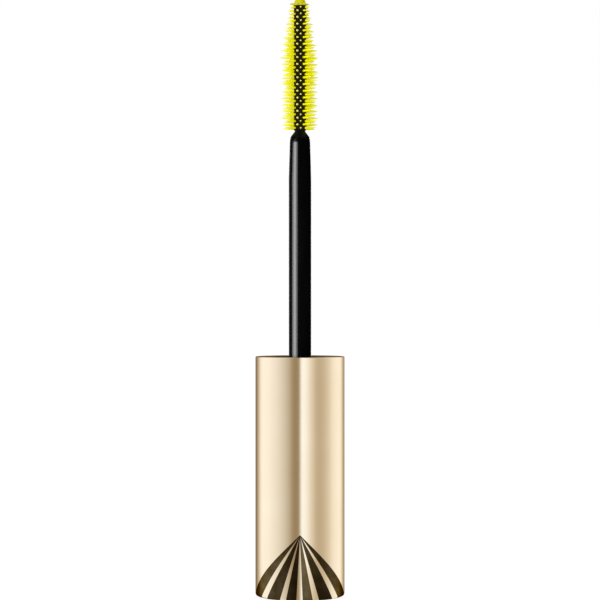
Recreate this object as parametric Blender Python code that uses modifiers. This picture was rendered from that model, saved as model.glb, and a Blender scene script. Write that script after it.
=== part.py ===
"""Mascara applicator: a threaded cap with a stem and a moulded brush.

The closed end of the cap stands on z = 0 and the brush points up, along +Z.
Each physical piece is one object. Lengths are in metres.
"""
import math

import bmesh
import bpy
from mathutils import Matrix

MM = 0.001

# Overall stack, measured up from the closed end of the cap
CAP_LENGTH = 45.5 * MM
STEM_TIP_Z = 87.15 * MM
TOTAL_LENGTH = 113.7 * MM

# Outer shell: thin drawn aluminium cup
SHELL_RADIUS = 8.5 * MM
SHELL_WALL = 0.5 * MM
SHELL_FLOOR = 0.7 * MM
BASE_ROUND = 0.4 * MM
RIM_EDGE = 0.08 * MM

# Inner cap: threaded liner pushed into the shell
FIT_GAP = 0.15 * MM
LINER_RECESS = 0.2 * MM
SEAT_Z = 28.5 * MM
WEB_THICKNESS = 2.6 * MM
THREAD_BORE_RADIUS = 6.9 * MM
SKIRT_RADIUS = 7.55 * MM
BOSS_RADIUS = 3.9 * MM
BOSS_END_Z = 8.0 * MM
SOCKET_RADIUS = 2.4 * MM
SOCKET_FLOOR_Z = 9.2 * MM
SNAP_GROOVE_Z = 12.6 * MM
SNAP_DEPTH = 0.3 * MM
RIB_END_Z = 6.8 * MM
RIB_THICKNESS = 1.2 * MM
RIB_COUNT = 6
CRUSH_RIB_COUNT = 12
CRUSH_RIB_WIDTH = 0.8 * MM

# Internal thread, one start
THREAD_CREST_RADIUS = 5.95 * MM
THREAD_PITCH = 2.117 * MM
THREAD_TURNS = 1.75
THREAD_START_Z = 32.2 * MM
THREAD_ROOT_WIDTH = 1.3 * MM
THREAD_CREST_WIDTH = 0.5 * MM

# Weight in the closed end
WEIGHT_RADIUS = 7.3 * MM
WEIGHT_BOTTOM_Z = 1.0 * MM
WEIGHT_TOP_Z = 6.5 * MM

# Washer that the bottle's neck closes on
SEAL_INNER_RADIUS = 4.4 * MM
SEAL_OUTER_RADIUS = 5.7 * MM
SEAL_THICKNESS = 1.1 * MM
REST_GAP = 0.3 * MM

# Stem
STEM_RADIUS = 2.135 * MM
STEM_TIP_RADIUS = 1.95 * MM
STEM_TAPER_START_Z = 79.5 * MM
STEM_FLANGE_RADIUS = 4.0 * MM
STEM_FLANGE_THICKNESS = 0.9 * MM
PLUG_RADIUS = 2.1 * MM
PLUG_END_Z = 9.6 * MM
TIP_BORE_RADIUS = 1.05 * MM
TIP_BORE_FLOOR_Z = 75.0 * MM

# Brush core: perforated sleeve with a collar and a barbed shank
COLLAR_RADIUS = 1.82 * MM
COLLAR_NECK_RADIUS = 0.9 * MM
COLLAR_HEIGHT = 1.3 * MM
TOUCH_GAP = 0.1 * MM
SHANK_RADIUS = 0.8 * MM
BARB_RADIUS = 0.95 * MM
SHANK_END_Z = 75.6 * MM
SLEEVE_RADIUS = 1.15 * MM
SLEEVE_BORE_RADIUS = 0.78 * MM
SLEEVE_FLOOR_Z = 88.65 * MM
SLEEVE_TOP_Z = 112.45 * MM
HOLE_SIDE = 0.5 * MM

# Bristle insert: a rod inside the sleeve, with bristles through its holes; the top row grows
# from the dome instead
ROD_RADIUS = 0.68 * MM
ROD_END_Z = 88.75 * MM
DOME_RADIUS = 1.16 * MM
TOP_ROW_Z = 112.7 * MM
ROW_PITCH = 0.6395 * MM
ROW_COUNT = 38
BRISTLES_PER_ROW = 6
BRISTLE_ROOT_SIDE = 0.42 * MM
BRISTLE_BASE_RADIUS = 0.5 * MM
BRUSH_TURN = math.radians(6)

# Stubs: the short blunt bristles of the two columns that face -Y
STUB_REACH = 1.55 * MM
STUB_TIP_SIDE = 0.32 * MM

# Radius of the brush at its bristle tips, from the tip of the brush down
BRUSH_OUTLINE = (
    (112.7 * MM, 2.1 * MM),
    (108.0 * MM, 2.75 * MM),
    (102.5 * MM, 3.85 * MM),
    (99.5 * MM, 3.66 * MM),
    (89.0 * MM, 3.6 * MM),
)

# Facets round each kind of turned piece
CAP_STEPS = 36
STEM_STEPS = 24
BRUSH_STEPS = 12
FACET_ANGLE = math.tau / BRUSH_STEPS
MERGE_DISTANCE = 0.001 * MM


def clear_scene():
    for existing in list(bpy.data.objects):
        bpy.data.objects.remove(existing, do_unlink=True)


def new_collection(name):
    collection = bpy.data.collections.new(name)
    bpy.context.scene.collection.children.link(collection)
    return collection


def new_material(name, colour, metallic, roughness):
    material = bpy.data.materials.new(name)
    material.use_nodes = True
    shader = material.node_tree.nodes["Principled BSDF"]
    shader.inputs["Base Color"].default_value = (*colour, 1.0)
    shader.inputs["Metallic"].default_value = metallic
    shader.inputs["Roughness"].default_value = roughness
    return material


def arc(centre, radius, start_deg, end_deg, count=3):
    """Points (r, z) along a circular arc in the profile plane."""
    points = []
    for index in range(count + 1):
        angle = math.radians(start_deg + (end_deg - start_deg) * index / count)
        points.append((centre[0] + radius * math.cos(angle), centre[1] + radius * math.sin(angle)))
    return points


def turned(name, profile, steps, collection, material=None, ring=False):
    """Revolve a profile of (r, z) points about Z; its outer side runs from top to bottom."""
    mesh = bpy.data.meshes.new(name)
    count = len(profile)
    edges = [(index, index + 1) for index in range(count - 1)]
    if ring:
        edges.append((count - 1, 0))
    mesh.from_pydata([(r, 0.0, z) for r, z in profile], edges, [])
    piece = bpy.data.objects.new(name, mesh)
    collection.objects.link(piece)
    screw = piece.modifiers.new("Turn", "SCREW")
    screw.axis = "Z"
    screw.steps = steps
    screw.render_steps = steps
    screw.use_merge_vertices = True
    screw.merge_threshold = MERGE_DISTANCE
    screw.use_smooth_shade = True
    if material:
        mesh.materials.append(material)
    return piece


def tool_object(name, mesh_data, collection):
    """Wrap a bmesh as a hidden object that only cuts or joins another piece."""
    mesh = bpy.data.meshes.new(name)
    mesh_data.to_mesh(mesh)
    mesh_data.free()
    tool = bpy.data.objects.new(name, mesh)
    tool.hide_render = True
    tool.display_type = "WIRE"
    collection.objects.link(tool)
    return tool


def add_boolean(piece, tool, operation):
    boolean = piece.modifiers.new(tool.name, "BOOLEAN")
    boolean.operation = operation
    boolean.object = tool
    boolean.solver = "EXACT"


def radial_box(mesh_data, azimuth, inner, outer, width, low, high):
    """Add a box that stands on a radius of the Z axis."""
    size = Matrix.Diagonal((outer - inner, width, high - low, 1.0))
    centre = Matrix.Translation(((inner + outer) / 2, 0.0, (low + high) / 2))
    turn = Matrix.Rotation(azimuth, 4, "Z")
    bmesh.ops.create_cube(mesh_data, size=1.0, matrix=turn @ centre @ size)


def helical_ridge():
    """Trapezoid thread ridge swept along a helix, fading to the wall at both ends."""
    root_radius = THREAD_BORE_RADIUS + 0.2 * MM
    count = round(CAP_STEPS * THREAD_TURNS)
    fade = count / 7
    mesh_data = bmesh.new()
    sections = []
    for index in range(count + 1):
        angle = math.tau * THREAD_TURNS * index / count
        height = min(1.0, (index + 0.5) / fade, (count - index + 0.5) / fade)
        crest_radius = THREAD_BORE_RADIUS - (THREAD_BORE_RADIUS - THREAD_CREST_RADIUS) * height
        middle = THREAD_START_Z + THREAD_PITCH * THREAD_TURNS * index / count
        outline = (
            (root_radius, middle - THREAD_ROOT_WIDTH / 2),
            (root_radius, middle + THREAD_ROOT_WIDTH / 2),
            (crest_radius, middle + THREAD_CREST_WIDTH / 2),
            (crest_radius, middle - THREAD_CREST_WIDTH / 2),
        )
        section = [mesh_data.verts.new((r * math.cos(angle), r * math.sin(angle), z)) for r, z in outline]
        sections.append(section)
    for near, far in zip(sections, sections[1:]):
        for side in range(4):
            following = (side + 1) % 4
            mesh_data.faces.new((near[side], far[side], far[following], near[following]))
    mesh_data.faces.new(sections[0])
    mesh_data.faces.new(reversed(sections[-1]))
    bmesh.ops.recalc_face_normals(mesh_data, faces=mesh_data.faces)
    return mesh_data


def brush_radius(z):
    """Radius of the bristle tips at height z, between the points of the outline."""
    for (upper_z, upper_r), (lower_z, lower_r) in zip(BRUSH_OUTLINE, BRUSH_OUTLINE[1:]):
        if z >= lower_z:
            share = (upper_z - z) / (upper_z - lower_z)
            return upper_r + (lower_r - upper_r) * share
    return BRUSH_OUTLINE[-1][1]


def bristle_places(first_row=0):
    """Height and azimuth of every bristle, and whether it is a stub.

    Each row of six is turned half a space from the last, and its first bristle is a stub.
    """
    for row in range(first_row, ROW_COUNT):
        z = TOP_ROW_Z - ROW_PITCH * row
        shifted = (row + 1) % 2
        offset = BRUSH_TURN - math.pi / 2 - shifted * FACET_ANGLE
        for index in range(BRISTLES_PER_ROW):
            yield z, offset + math.tau * index / BRISTLES_PER_ROW, index == 0


def make_outer_shell(collection, material):
    bore = SHELL_RADIUS - SHELL_WALL
    corner = BASE_ROUND
    profile = [(0.0, SHELL_FLOOR)]
    profile += arc((bore - corner, SHELL_FLOOR + corner), corner, -90, 0)
    profile += [
        (bore, CAP_LENGTH - RIM_EDGE),
        (bore + RIM_EDGE, CAP_LENGTH),
        (SHELL_RADIUS - RIM_EDGE, CAP_LENGTH),
        (SHELL_RADIUS, CAP_LENGTH - RIM_EDGE),
    ]
    profile += arc((SHELL_RADIUS - corner, corner), corner, 0, -90)
    profile.append((0.0, 0.0))
    return turned("outer_shell", profile, CAP_STEPS, collection, material)


def make_cap_weight(collection, material):
    chamfer = 0.4 * MM
    profile = [
        (0.0, WEIGHT_TOP_Z),
        (WEIGHT_RADIUS - chamfer, WEIGHT_TOP_Z),
        (WEIGHT_RADIUS, WEIGHT_TOP_Z - chamfer),
        (WEIGHT_RADIUS, WEIGHT_BOTTOM_Z + chamfer),
        (WEIGHT_RADIUS - chamfer, WEIGHT_BOTTOM_Z),
        (0.0, WEIGHT_BOTTOM_Z),
    ]
    return turned("cap_weight", profile, CAP_STEPS, collection, material)


def inner_cap_profile():
    """Blind socket for the stem, web and threaded skirt inside; skirt and boss outside."""
    rim_z = CAP_LENGTH - LINER_RECESS
    rim_radius = SHELL_RADIUS - SHELL_WALL - FIT_GAP
    web_z = SEAT_Z - WEB_THICKNESS
    groove_radius = SOCKET_RADIUS + SNAP_DEPTH
    chamfer = 0.4 * MM
    return [
        (0.0, SOCKET_FLOOR_Z),
        (SOCKET_RADIUS, SOCKET_FLOOR_Z),
        (SOCKET_RADIUS, SNAP_GROOVE_Z - 2 * SNAP_DEPTH),
        (groove_radius, SNAP_GROOVE_Z - SNAP_DEPTH),
        (groove_radius, SNAP_GROOVE_Z + SNAP_DEPTH),
        (SOCKET_RADIUS, SNAP_GROOVE_Z + 2 * SNAP_DEPTH),
        (SOCKET_RADIUS, SEAT_Z - chamfer),
        (SOCKET_RADIUS + chamfer, SEAT_Z),
        (THREAD_BORE_RADIUS - chamfer, SEAT_Z),
        (THREAD_BORE_RADIUS, SEAT_Z + chamfer),
        (THREAD_BORE_RADIUS, rim_z - chamfer),
        (THREAD_BORE_RADIUS + chamfer, rim_z),
        (rim_radius - chamfer / 2, rim_z),
        (rim_radius, rim_z - chamfer / 2),
        (rim_radius, rim_z - 1.2 * MM),
        (SKIRT_RADIUS, rim_z - 1.5 * MM),
        (SKIRT_RADIUS, web_z + chamfer),
        (SKIRT_RADIUS - chamfer, web_z),
        (BOSS_RADIUS, web_z),
        (BOSS_RADIUS, BOSS_END_Z + chamfer),
        (BOSS_RADIUS - chamfer, BOSS_END_Z),
        (0.0, BOSS_END_Z),
    ]


def inner_cap_ribs():
    """Fins between boss and shell, and crush ribs on the skirt."""
    mesh_data = bmesh.new()
    rib_radius = SHELL_RADIUS - SHELL_WALL - 2 * FIT_GAP
    fin_top = SEAT_Z - WEB_THICKNESS / 2
    for index in range(RIB_COUNT):
        azimuth = math.tau * index / RIB_COUNT
        inner = BOSS_RADIUS - 0.8 * MM
        radial_box(mesh_data, azimuth, inner, rib_radius, RIB_THICKNESS, RIB_END_Z, fin_top)
    for index in range(CRUSH_RIB_COUNT):
        azimuth = math.tau * (index + 0.5) / CRUSH_RIB_COUNT
        inner = SKIRT_RADIUS - 0.3 * MM
        low = SEAT_Z + 1.0 * MM
        high = CAP_LENGTH - 3.0 * MM
        radial_box(mesh_data, azimuth, inner, rib_radius, CRUSH_RIB_WIDTH, low, high)
    return mesh_data


def make_inner_cap(collection, tools, material):
    piece = turned("inner_cap", inner_cap_profile(), CAP_STEPS, collection, material)
    add_boolean(piece, tool_object("inner_cap_ribs", inner_cap_ribs(), tools), "UNION")
    add_boolean(piece, tool_object("inner_cap_thread", helical_ridge(), tools), "UNION")
    return piece


def make_neck_seal(collection, material):
    low = SEAT_Z + REST_GAP
    high = low + SEAL_THICKNESS
    edge = 0.1 * MM
    profile = [
        (SEAL_INNER_RADIUS, low),
        (SEAL_INNER_RADIUS, high),
        (SEAL_OUTER_RADIUS - edge, high),
        (SEAL_OUTER_RADIUS, high - edge),
        (SEAL_OUTER_RADIUS, low),
    ]
    return turned("neck_seal", profile, CAP_STEPS, collection, material, ring=True)


def make_stem(collection, material):
    flange_z = SEAT_Z + REST_GAP
    flange_top = flange_z + STEM_FLANGE_THICKNESS
    edge = 0.15 * MM
    fillet = 0.5 * MM
    shoulder = 0.25 * MM
    bead_radius = PLUG_RADIUS + SNAP_DEPTH
    profile = [
        (0.0, TIP_BORE_FLOOR_Z),
        (TIP_BORE_RADIUS, TIP_BORE_FLOOR_Z),
        (TIP_BORE_RADIUS, STEM_TIP_Z),
    ]
    profile += arc((STEM_TIP_RADIUS - shoulder, STEM_TIP_Z - shoulder), shoulder, 90, 0)
    profile += [
        (STEM_RADIUS, STEM_TAPER_START_Z),
        (STEM_RADIUS, flange_top + fillet),
        (STEM_RADIUS + fillet / 3, flange_top + fillet / 3),
        (STEM_RADIUS + fillet, flange_top),
        (STEM_FLANGE_RADIUS - edge, flange_top),
        (STEM_FLANGE_RADIUS, flange_top - edge),
        (STEM_FLANGE_RADIUS, flange_z),
        (PLUG_RADIUS, flange_z),
        (PLUG_RADIUS, SNAP_GROOVE_Z + 1.5 * SNAP_DEPTH),
        (bead_radius, SNAP_GROOVE_Z + SNAP_DEPTH / 2),
        (bead_radius, SNAP_GROOVE_Z - SNAP_DEPTH / 2),
        (PLUG_RADIUS, SNAP_GROOVE_Z - 1.5 * SNAP_DEPTH),
        (PLUG_RADIUS, PLUG_END_Z + fillet),
        (PLUG_RADIUS - fillet, PLUG_END_Z),
        (0.0, PLUG_END_Z),
    ]
    return turned("stem", profile, STEM_STEPS, collection, material)


def brush_core_profile():
    """Open sleeve on top, cone-shaped collar, then the shank with two barbs."""
    collar_z = STEM_TIP_Z + TOUCH_GAP
    edge = 0.1 * MM
    profile = [
        (0.0, SLEEVE_FLOOR_Z),
        (SLEEVE_BORE_RADIUS, SLEEVE_FLOOR_Z),
        (SLEEVE_BORE_RADIUS, SLEEVE_TOP_Z),
        (SLEEVE_RADIUS - edge, SLEEVE_TOP_Z),
        (SLEEVE_RADIUS, SLEEVE_TOP_Z - edge),
        (SLEEVE_RADIUS, collar_z + COLLAR_HEIGHT + edge),
        (COLLAR_NECK_RADIUS, collar_z + COLLAR_HEIGHT),
        (COLLAR_RADIUS, collar_z + edge),
        (COLLAR_RADIUS, collar_z),
        (SHANK_RADIUS, collar_z),
    ]
    for barb_z in (84.0 * MM, 80.0 * MM):
        profile += [
            (SHANK_RADIUS, barb_z + 0.1 * MM),
            (BARB_RADIUS, barb_z),
            (SHANK_RADIUS, barb_z - 0.8 * MM),
        ]
    profile += [
        (SHANK_RADIUS, SHANK_END_Z + 0.3 * MM),
        (SHANK_RADIUS / 2, SHANK_END_Z),
        (0.0, SHANK_END_Z),
    ]
    return profile


def bristle_holes():
    """Square punches for the sleeve's wall, one for each bristle below the dome's row."""
    mesh_data = bmesh.new()
    half = HOLE_SIDE / 2
    for z, azimuth, _ in bristle_places(first_row=1):
        inner = SLEEVE_BORE_RADIUS - 0.12 * MM
        outer = SLEEVE_RADIUS + 0.3 * MM
        radial_box(mesh_data, azimuth, inner, outer, HOLE_SIDE, z - half, z + half)
    return mesh_data


def make_brush_core(collection, tools, material):
    piece = turned("brush_core", brush_core_profile(), BRUSH_STEPS, collection, material)
    piece.rotation_euler.z = FACET_ANGLE / 2 + BRUSH_TURN
    add_boolean(piece, tool_object("bristle_holes", bristle_holes(), tools), "DIFFERENCE")
    return piece


def bristle_spikes():
    """Four-sided spikes from the rod to the outline of the brush, and blunt stubs."""
    mesh_data = bmesh.new()
    for z, azimuth, is_stub in bristle_places():
        reach = STUB_REACH if is_stub else brush_radius(z)
        tip_side = STUB_TIP_SIDE if is_stub else 0.0
        length = reach - BRISTLE_BASE_RADIUS
        along = Matrix.Rotation(math.pi / 2, 4, "Y")
        square_up = Matrix.Rotation(math.pi / 4, 4, "Z")
        out = Matrix.Translation((BRISTLE_BASE_RADIUS + length / 2, 0.0, z))
        place = Matrix.Rotation(azimuth, 4, "Z") @ out @ along @ square_up
        bmesh.ops.create_cone(
            mesh_data,
            cap_ends=True,
            segments=4,
            radius1=BRISTLE_ROOT_SIDE / math.sqrt(2),
            radius2=tip_side / math.sqrt(2),
            depth=length,
            matrix=place,
        )
    return mesh_data


def make_brush_bristles(collection, tools, material):
    dome_z = SLEEVE_TOP_Z + TOUCH_GAP
    dome_height = TOTAL_LENGTH - dome_z
    profile = [(0.0, TOTAL_LENGTH)]
    for degrees in (60, 30, 0):
        angle = math.radians(degrees)
        profile.append((DOME_RADIUS * math.cos(angle), dome_z + dome_height * math.sin(angle)))
    profile += [(ROD_RADIUS, dome_z), (ROD_RADIUS, ROD_END_Z), (0.0, ROD_END_Z)]
    piece = turned("brush_bristles", profile, BRUSH_STEPS, collection, material)
    piece.rotation_euler.z = FACET_ANGLE / 2 + BRUSH_TURN
    add_boolean(piece, tool_object("bristle_spikes", bristle_spikes(), tools), "UNION")
    return piece


def main():
    clear_scene()
    parts = new_collection("mascara_applicator")
    tools = new_collection("cutters")
    gold = new_material("anodised_gold", (0.87, 0.73, 0.48), 1.0, 0.22)
    black = new_material("black_plastic", (0.008, 0.008, 0.009), 0.0, 0.28)
    yellow = new_material("yellow_bristle", (0.86, 0.80, 0.03), 0.0, 0.45)
    steel = new_material("plain_steel", (0.45, 0.45, 0.47), 1.0, 0.4)
    foam = new_material("white_foam", (0.78, 0.78, 0.75), 0.0, 0.7)
    make_outer_shell(parts, gold)
    make_cap_weight(parts, steel)
    make_inner_cap(parts, tools, black)
    make_neck_seal(parts, foam)
    make_stem(parts, black)
    make_brush_core(parts, tools, black)
    make_brush_bristles(parts, tools, yellow)


main()
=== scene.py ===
"""Visual model of a mascara applicator: gold cap, black stem and yellow moulded brush.

Every piece but the print on the cap is a detailed mesh that stands for one CAD node, placed
from that node's box.
"""
import math
import random

import bmesh
import bpy
from mathutils import Euler, Matrix, Vector


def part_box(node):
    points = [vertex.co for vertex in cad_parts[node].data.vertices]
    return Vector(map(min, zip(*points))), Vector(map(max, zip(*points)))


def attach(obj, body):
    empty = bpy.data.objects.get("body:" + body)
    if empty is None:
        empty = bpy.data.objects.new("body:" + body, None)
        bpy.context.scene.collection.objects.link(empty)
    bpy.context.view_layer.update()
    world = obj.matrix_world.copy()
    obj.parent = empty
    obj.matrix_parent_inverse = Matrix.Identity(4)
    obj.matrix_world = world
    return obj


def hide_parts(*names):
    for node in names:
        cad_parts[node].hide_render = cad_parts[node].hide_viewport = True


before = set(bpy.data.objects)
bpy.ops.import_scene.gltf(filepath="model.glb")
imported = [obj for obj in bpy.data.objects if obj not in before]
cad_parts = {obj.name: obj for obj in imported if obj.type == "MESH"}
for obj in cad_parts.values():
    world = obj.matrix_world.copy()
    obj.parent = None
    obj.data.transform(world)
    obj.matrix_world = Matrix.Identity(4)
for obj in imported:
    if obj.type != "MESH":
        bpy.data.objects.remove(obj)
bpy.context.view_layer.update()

MM = 0.001

# Places taken from the CAD boxes
SHELL_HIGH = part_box("outer_shell")[1]
LINER_LOW, LINER_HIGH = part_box("inner_cap")
WEIGHT_LOW, WEIGHT_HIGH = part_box("cap_weight")
SEAL_LOW, SEAL_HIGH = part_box("neck_seal")
STEM_LOW, STEM_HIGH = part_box("stem")
CORE_LOW, CORE_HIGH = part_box("brush_core")
BRISTLES_LOW, BRISTLES_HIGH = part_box("brush_bristles")
CAP_RADIUS = SHELL_HIGH.x
CAP_LENGTH = SHELL_HIGH.z
LINER_RADIUS = LINER_HIGH.x

# Cap
SHELL_STEPS = 192
LINER_STEPS = 144
ROUND_STEPS = 96
SHELL_WALL = 0.5 * MM
SHELL_FLOOR = 0.7 * MM
BASE_ROUND = 0.5 * MM
CORNER_STEPS = 8
SEAT_Z = 28.5 * MM
WEB_THICKNESS = 2.6 * MM
THREAD_BORE_RADIUS = 6.9 * MM
THREAD_CREST_RADIUS = 5.95 * MM
THREAD_PITCH = 2.117 * MM
THREAD_TURNS = 1.75
THREAD_START_Z = 32.2 * MM
THREAD_HALF_ROOT = 0.65 * MM
THREAD_FLANK = 0.4 * MM
THREAD_FADE_TURNS = 0.12
THREAD_ROWS = 60
SOCKET_RADIUS = 2.4 * MM
SOCKET_FLOOR_Z = 9.2 * MM
BOSS_RADIUS = 3.9 * MM
BOSS_END_Z = 8.0 * MM
FIN_COUNT = 6
FIN_WIDTH = 1.2 * MM
FIN_INNER_RADIUS = 3.1 * MM
CRUSH_RIB_COUNT = 12
CRUSH_RIB_WIDTH = 0.8 * MM
CRUSH_RIB_INNER_RADIUS = 7.2 * MM
RIB_GAP = 0.15 * MM
SEAL_INNER_RADIUS = 4.4 * MM

# Printed fan on the cap: apex height and, for each of its six dark rays, the two edges in
# degrees from straight down on the unrolled surface, and how pale the ink is near the apex and
# near the base
FAN_APEX_Z = 12.34 * MM
FAN_RAYS = (
    (-45.9, -35.7, 0.9, 1.9),
    (-29.7, -17.8, 0.5, 1.0),
    (-12.3, -3.25, 0.6, 0.6),
    (2.45, 11.2, 2.0, 1.5),
    (16.85, 29.0, 1.0, 0.35),
    (34.95, 45.1, 0.4, 1.5),
)
FAN_START_DEPTH = 0.03 * MM
INK_SPREAD = 0.025 * MM
INK_GAP = 0.004 * MM
INK_HAIRLINE = 0.001 * MM
INK_THICKNESS = 0.012 * MM
INK_ROWS = 60
INK_COLUMNS = 12

# Stem
STEM_RADIUS = 2.135 * MM
STEM_TIP_RADIUS = 1.95 * MM
STEM_TAPER_START_Z = 79.5 * MM
STEM_PLUG_RADIUS = 2.1 * MM
FLANGE_GAP = 0.3 * MM
FLANGE_THICKNESS = 0.9 * MM
TIP_BORE_RADIUS = 1.05 * MM
TIP_BORE_FLOOR_Z = 75.0 * MM
SNAP_GROOVE_Z = 12.6 * MM
SNAP_DEPTH = 0.3 * MM

# Brush
COLLAR_RADIUS = 1.82 * MM
COLLAR_NECK_RADIUS = 0.96 * MM
COLLAR_HEIGHT = 1.3 * MM
SLEEVE_RADIUS = 1.17 * MM
SLEEVE_BORE_RADIUS = 0.78 * MM
SLEEVE_FLOOR_Z = 88.65 * MM
SHANK_RADIUS = 0.8 * MM
BARB_RADIUS = 0.95 * MM
BARB_HEIGHTS = (84.0 * MM, 80.0 * MM)
ROD_RADIUS = 0.68 * MM
DOME_RADIUS = 1.09 * MM
DOME_SQUARENESS = 3.4
DOME_RINGS = 12
DOME_STEPS = 36
TOP_ROW_Z = 112.7 * MM
ROW_PITCH = 0.6395 * MM
ROW_COUNT = 38
BRISTLES_PER_ROW = 6
BRUSH_TURN = math.radians(6)
STUB_REACH = 1.55 * MM
STUB_ROOT_RADIUS = 0.215 * MM
STUB_TIP_RADIUS = 0.165 * MM
THIN_STUB_SHARE = 0.78
BRISTLE_ROOT_RADIUS = 0.275 * MM
BRISTLE_TIP_RADIUS = 0.05 * MM
BRISTLE_START_RADIUS = 0.55 * MM
FULL_REACH = 3.6 * MM
THIN_ROOT_SHARE = 0.55
FRONT_ROOT_SHARE = 0.76
HOLE_OVERSIZE = 1.08
HOLE_MARGIN = 0.012 * MM
HALF_STEP = math.tau / BRISTLES_PER_ROW / 2
SLEEVE_STEPS = 4 * BRISTLES_PER_ROW
BRISTLE_TAPER = 3.4
REACH_SPREAD = (0.90, 1.02)
LEAN_SPREAD = (0.06 * MM, 0.08 * MM)
DROOP_SPREAD = (-0.03 * MM, 0.05 * MM)
STUB_LEAN_SHARE = 0.3
BRUSH_OUTLINE = (
    (112.7 * MM, 2.1 * MM),
    (108.0 * MM, 2.75 * MM),
    (102.5 * MM, 3.85 * MM),
    (99.5 * MM, 3.66 * MM),
    (89.0 * MM, 3.6 * MM),
)

# The upper bristles reach a little farther towards -X, and less far towards +X
TRIM_SHIFT = 0.15 * MM
TRIM_START_Z = 101.0 * MM
TRIM_FULL_Z = 104.0 * MM

# Camera and studio
CAMERA_DISTANCE = 378 * MM
CAMERA_HEIGHT = 56.25 * MM
CAMERA_LENS = 118.8
SENSOR_WIDTH = 36.0
DRUM_RADIUS = 600 * MM
DRUM_HEIGHT = 1000 * MM
PANEL_STRENGTH = 1.5
FILL_STRENGTH = 0.62

# Lights that face the wand's middle: name, direction and rise in degrees (0 is towards the
# camera, 90 is +X), distance, width, height and watts
KEY_LIGHT = ("key", -38, 25, 700 * MM, 360 * MM, 360 * MM, 2.4)
STEM_LIGHTS = (
    ("stem_strip", -56, 0, 450 * MM, 210 * MM, 250 * MM, 0.95),
    ("wide_strip", -57, 0, 460 * MM, 530 * MM, 250 * MM, 1.55),
    ("back_strip", 180, 0, 450 * MM, 120 * MM, 600 * MM, 0.8),
    ("rim_strip", -140, 0, 450 * MM, 120 * MM, 600 * MM, 0.08),
)

# Light panels round the cap: direction in degrees as above, level and coolness
PANELS = (
    (-180, 0.22, 0.0),
    (-152, 0.27, 0.0),
    (-136, 0.56, -0.3),
    (-122, 1.00, 0.0),
    (-112, 1.12, 0.2),
    (-88, 1.09, 0.2),
    (-60, 0.93, 0.6),
    (-40, 0.73, 1.0),
    (-28, 0.58, 0.9),
    (-19, 0.41, 0.0),
    (-11, 0.35, -0.1),
    (-4, 0.37, 0.2),
    (-1, 0.52, 0.6),
    (3, 1.05, 1.0),
    (7, 1.14, 1.0),
    (16, 1.08, 0.6),
    (28, 0.86, 0.0),
    (42, 0.62, -0.3),
    (52, 0.59, -0.3),
    (64, 0.65, -0.3),
    (78, 0.79, -0.3),
    (92, 0.99, -0.3),
    (106, 1.07, -0.3),
    (124, 1.12, -0.6),
    (133, 1.00, -1.2),
    (142, 0.68, -1.2),
    (156, 0.41, -0.6),
    (180, 0.22, 0.0),
)


# ---------------------------------------------------------------- mesh tools


def add_object(name, mesh, material):
    piece = bpy.data.objects.new(name, mesh)
    bpy.context.scene.collection.objects.link(piece)
    mesh.materials.append(material)
    return piece


def smooth(mesh, angle=35):
    mesh.shade_smooth()
    mesh.set_sharp_from_angle(angle=math.radians(angle))


def filleted(corners, closed=False, count=5):
    """Round the corners (r, z, size) of a profile with parabolas and return its points (r, z)."""
    points = []
    total = len(corners)
    for index, (r, z, fillet) in enumerate(corners):
        at_end = not closed and index in (0, total - 1)
        if fillet == 0 or at_end:
            points.append((r, z))
            continue
        here = Vector((r, z))
        before = Vector(corners[index - 1][:2]) - here
        after = Vector(corners[(index + 1) % total][:2]) - here
        half = before.angle(after) / 2
        reach = min(fillet / math.tan(half), 0.49 * before.length, 0.49 * after.length)
        start = here + before.normalized() * reach
        end = here + after.normalized() * reach
        for step in range(count + 1):
            share = step / count
            near = start.lerp(here, share)
            far = here.lerp(end, share)
            points.append(tuple(near.lerp(far, share)))
    return points


def revolve(mesh_data, profile, steps, closed=False, radius_shift=None, start=0.0):
    """Turn a profile about Z from a start angle. radius_shift(angle, r, z) may move its points."""
    rings = []
    for r, z in profile:
        if r < 1e-7:
            rings.append([mesh_data.verts.new((0.0, 0.0, z))])
            continue
        ring = []
        for step in range(steps):
            angle = start + math.tau * step / steps
            radius = r + radius_shift(angle, r, z) if radius_shift else r
            place = (radius * math.cos(angle), radius * math.sin(angle), z)
            ring.append(mesh_data.verts.new(place))
        rings.append(ring)
    pairs = list(zip(rings, rings[1:]))
    if closed:
        pairs.append((rings[-1], rings[0]))
    for upper, lower in pairs:
        for step in range(steps):
            after = (step + 1) % steps
            if len(upper) == 1:
                corners = (upper[0], lower[step], lower[after])
            elif len(lower) == 1:
                corners = (upper[step], lower[0], upper[after])
            else:
                corners = (upper[step], lower[step], lower[after], upper[after])
            mesh_data.faces.new(corners)


def finish_mesh(mesh_data, name, angle=35):
    bmesh.ops.recalc_face_normals(mesh_data, faces=mesh_data.faces)
    mesh = bpy.data.meshes.new(name)
    mesh_data.to_mesh(mesh)
    mesh_data.free()
    smooth(mesh, angle)
    return mesh


def turned(name, profile, steps, material, closed=False, radius_shift=None):
    mesh_data = bmesh.new()
    revolve(mesh_data, profile, steps, closed, radius_shift)
    return add_object(name, finish_mesh(mesh_data, name), material)


def stand_for(piece, node):
    """The piece is fixed to the wand's one body, and takes the place of a CAD node."""
    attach(piece, "root")
    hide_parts(node)
    return piece


# ---------------------------------------------------------------- material tools


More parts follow.
